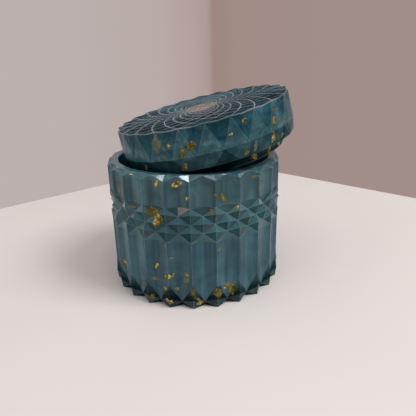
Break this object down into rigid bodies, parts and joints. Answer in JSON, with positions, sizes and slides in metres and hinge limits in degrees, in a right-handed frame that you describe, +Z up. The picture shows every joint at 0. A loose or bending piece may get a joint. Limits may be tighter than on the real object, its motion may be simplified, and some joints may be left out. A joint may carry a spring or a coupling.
{
  "type": "vanity trinket box",
  "caption": "Round faceted trinket box: fluted cast-resin jar with a diamond band and thorned foot, and a loose plug lid with a pitted rosette top, flecked with gold leaf.",
  "frame": {"origin": "centre of the jar's flat base, on the surface it stands on", "axes": "+Z up along the jar's axis, -Y towards the front, +X to the right seen from the front"},
  "size_m": [0.0866, 0.0816, 0.0889],
  "materials": {
    "jar_resin": "cloudy dusty-teal cast resin, glossy and slightly translucent",
    "lid_resin": "deep teal cast resin, glossy and slightly translucent",
    "gold_leaf": "crumpled gold leaf"
  },
  "bodies": {
    "jar": {"jar": "jar_resin", "jar_leaf_upper_band": "gold_leaf", "jar_leaf_diamond_band": "gold_leaf", "jar_leaf_lower_band": "gold_leaf", "jar_leaf_foot": "gold_leaf"},
    "lid": {"lid": "lid_resin", "lid_leaf_side": "gold_leaf", "lid_leaf_lower_side": "gold_leaf", "lid_leaf_plug": "gold_leaf", "lid_leaf_rosette": "gold_leaf"}
  },
  "joints": [
    {"name": "lid_lift", "type": "slide", "parent": "jar", "child": "lid", "axis": [0, 0, 1], "range_m": [0, 0.06]}
  ]
}
